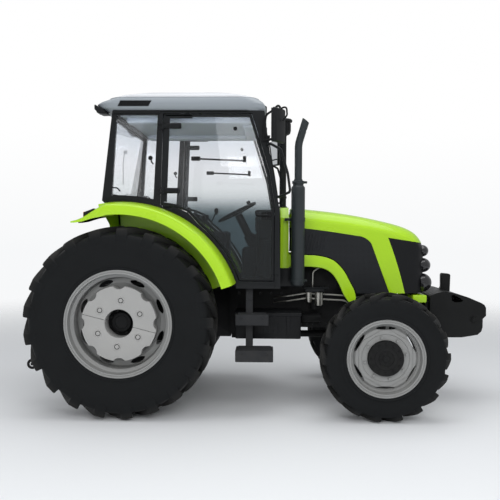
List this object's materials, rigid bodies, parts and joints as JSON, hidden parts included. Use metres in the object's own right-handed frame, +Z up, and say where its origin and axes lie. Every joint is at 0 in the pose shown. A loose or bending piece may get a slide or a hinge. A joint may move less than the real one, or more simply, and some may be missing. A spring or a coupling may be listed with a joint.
{
  "type": "farm tractor with cab",
  "caption": "Four-wheel drive farm tractor with glazed cab, opening doors, lifting hood, steered front axle, front weights and rear three-point linkage.",
  "frame": {"origin": "on the ground under the middle of the bounding box", "axes": "+X forward, +Y to the left of the driver, +Z up"},
  "size_m": [4.212, 2.12, 2.825],
  "materials": {
    "paint_green": "gloss",
    "roof_grey": "satin",
    "wheel_grey": "satin",
    "weight_grey": "satin",
    "tyre": "matt",
    "cast_black": "satin",
    "steel": "satin",
    "black_metal": "satin",
    "black_plastic": "matt",
    "lamp_glass": "gloss",
    "lamp_red": "gloss",
    "window_glass": "gloss",
    "seat_cloth": "matt"
  },
  "bodies": {
    "chassis": {"air_intake": "black_plastic", "battery_box": "black_metal", "cab_floor": "black_metal", "cab_frame": "black_metal", "cab_windows": "window_glass", "cowl": "paint_green", "dash_console": "black_plastic", "drawbar": "cast_black", "engine_block": "cast_black", "exhaust_stack": "black_metal", "fenders": "paint_green", "front_axle": "cast_black", "front_drive_shaft": "steel", "front_support": "cast_black", "front_weights": "cast_black", "fuel_tank": "black_plastic", "lower_panels": "paint_green", "mirrors": "black_plastic", "radiator": "cast_black", "roof": "roof_grey", "seat": "seat_cloth", "steps": "black_metal", "tail_lamps": "lamp_red", "transmission": "cast_black"},
    "hood": {"hood": "paint_green", "side_grilles": "black_plastic", "nose_grille": "black_plastic", "headlamps": "lamp_glass"},
    "door_right": {"door_right": "black_metal", "door_glass_right": "window_glass"},
    "door_left": {"door_left": "black_metal", "door_glass_left": "window_glass"},
    "steering_wheel": {"steering_wheel": "black_plastic"},
    "steering_rod": {"steering_rod": "steel"},
    "knuckle_right": {"knuckle_right": "cast_black"},
    "knuckle_left": {"knuckle_left": "cast_black"},
    "wheel_front_right": {"tyre_front_right": "tyre", "rim_front_right": "wheel_grey", "front_hub_right": "cast_black"},
    "wheel_front_left": {"tyre_front_left": "tyre", "rim_front_left": "wheel_grey", "front_hub_left": "cast_black"},
    "wheel_rear_right": {"tyre_rear_right": "tyre", "rim_rear_right": "wheel_grey", "wheel_weight_right": "weight_grey", "half_shaft_right": "cast_black"},
    "wheel_rear_left": {"tyre_rear_left": "tyre", "rim_rear_left": "wheel_grey", "wheel_weight_left": "weight_grey", "half_shaft_left": "cast_black"},
    "lower_links": {"lower_links": "cast_black"},
    "lift_arms": {"lift_arms": "cast_black"},
    "lift_rods": {"lift_rods": "cast_black"}
  },
  "joints": [
    {"name": "rear_right_wheel", "type": "hinge", "parent": "chassis", "child": "wheel_rear_right", "pos_m": [-1.15, -0.78, 0.82], "axis": [0, 1, 0], "continuous": true},
    {"name": "rear_left_wheel", "type": "hinge", "parent": "chassis", "child": "wheel_rear_left", "pos_m": [-1.15, 0.78, 0.82], "axis": [0, 1, 0], "continuous": true},
    {"name": "steer_left", "type": "hinge", "parent": "chassis", "child": "knuckle_left", "pos_m": [1.085, 0.6, 0.545], "axis": [0, 0, 1], "range_deg": [-40, 40]},
    {"name": "steer_right", "type": "hinge", "parent": "chassis", "child": "knuckle_right", "pos_m": [1.085, -0.6, 0.545], "axis": [0, 0, 1], "range_deg": [-40, 40]},
    {"name": "steer_rod", "type": "slide", "parent": "chassis", "child": "steering_rod", "axis": [0, -1, 0], "range_m": [-0.1153, 0.1153]},
    {"name": "steering_wheel_turn", "type": "hinge", "parent": "chassis", "child": "steering_wheel", "pos_m": [-0.19, 0, 1.76], "axis": [-0.4548, 0, 0.8906], "range_deg": [-480, 480]},
    {"name": "front_right_wheel", "type": "hinge", "parent": "knuckle_right", "child": "wheel_front_right", "pos_m": [1.085, -0.85, 0.545], "axis": [0, 1, 0], "continuous": true},
    {"name": "front_left_wheel", "type": "hinge", "parent": "knuckle_left", "child": "wheel_front_left", "pos_m": [1.085, 0.85, 0.545], "axis": [0, 1, 0], "continuous": true},
    {"name": "door_right", "type": "hinge", "parent": "chassis", "child": "door_right", "pos_m": [-0.8, -0.751, 2.2], "axis": [0, 0, -1], "range_deg": [0, 75]},
    {"name": "door_left", "type": "hinge", "parent": "chassis", "child": "door_left", "pos_m": [-0.8, 0.751, 2.2], "axis": [0, 0, 1], "range_deg": [0, 75]},
    {"name": "hood_lift", "type": "hinge", "parent": "chassis", "child": "hood", "pos_m": [0.328, 0, 1.797], "axis": [0, -1, 0], "range_deg": [0, 50]},
    {"name": "hitch_lift", "type": "hinge", "parent": "chassis", "child": "lower_links", "pos_m": [-1.21, 0, 0.5], "axis": [0, 1, 0], "range_deg": [-10, 38]},
    {"name": "lift_arm_turn", "type": "hinge", "parent": "chassis", "child": "lift_arms", "pos_m": [-1.35, 0, 1.01], "axis": [0, 1, 0], "range_deg": [-15.93, 59.12]},
    {"name": "lift_rod_turn", "type": "hinge", "parent": "lift_arms", "child": "lift_rods", "pos_m": [-1.63191, 0, 0.90739], "axis": [0, 1, 0], "range_deg": [-59.12, 15.93]}
  ],
  "couplings": [
    {"joint": "steer_right", "follows": "steer_left", "ratio": 1},
    {"joint": "steer_rod", "follows": "steer_left", "m_per_rad": 0.165},
    {"joint": "steering_wheel_turn", "follows": "steer_left", "ratio": 12},
    {"joint": "lift_arm_turn", "follows": "hitch_lift", "ratio": 1.5426},
    {"joint": "lift_rod_turn", "follows": "hitch_lift", "ratio": -1.5426}
  ]
}
